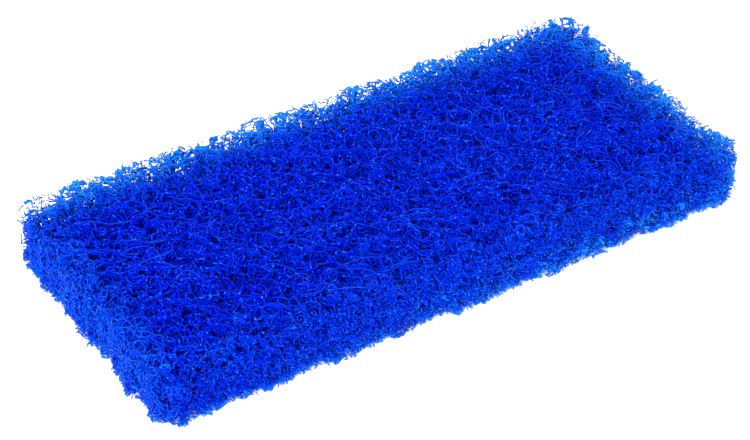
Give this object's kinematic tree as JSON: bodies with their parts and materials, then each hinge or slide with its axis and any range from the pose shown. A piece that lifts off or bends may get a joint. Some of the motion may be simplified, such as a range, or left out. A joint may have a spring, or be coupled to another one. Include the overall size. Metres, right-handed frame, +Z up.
{
  "type": "open fibre filter pad",
  "caption": "Rectangular block of open, curled-fibre web, cut square, that water is drawn through in a pond or aquarium filter.",
  "frame": {"origin": "middle of the underside, on the plane the pad rests on", "axes": "+X along the pad's length, +Y along its width, +Z up out of the top face"},
  "size_m": [0.254, 0.117, 0.0254],
  "materials": {
    "web_face": "resin-bonded curled plastic fibre, open, crushed along the cut edges",
    "web_inner": "resin-bonded curled plastic fibre, open"
  },
  "bodies": {
    "root": {"top_ply": "web_face", "upper_ply": "web_inner", "middle_ply": "web_inner", "lower_ply": "web_inner", "bottom_ply": "web_face"}
  },
  "joints": []
}
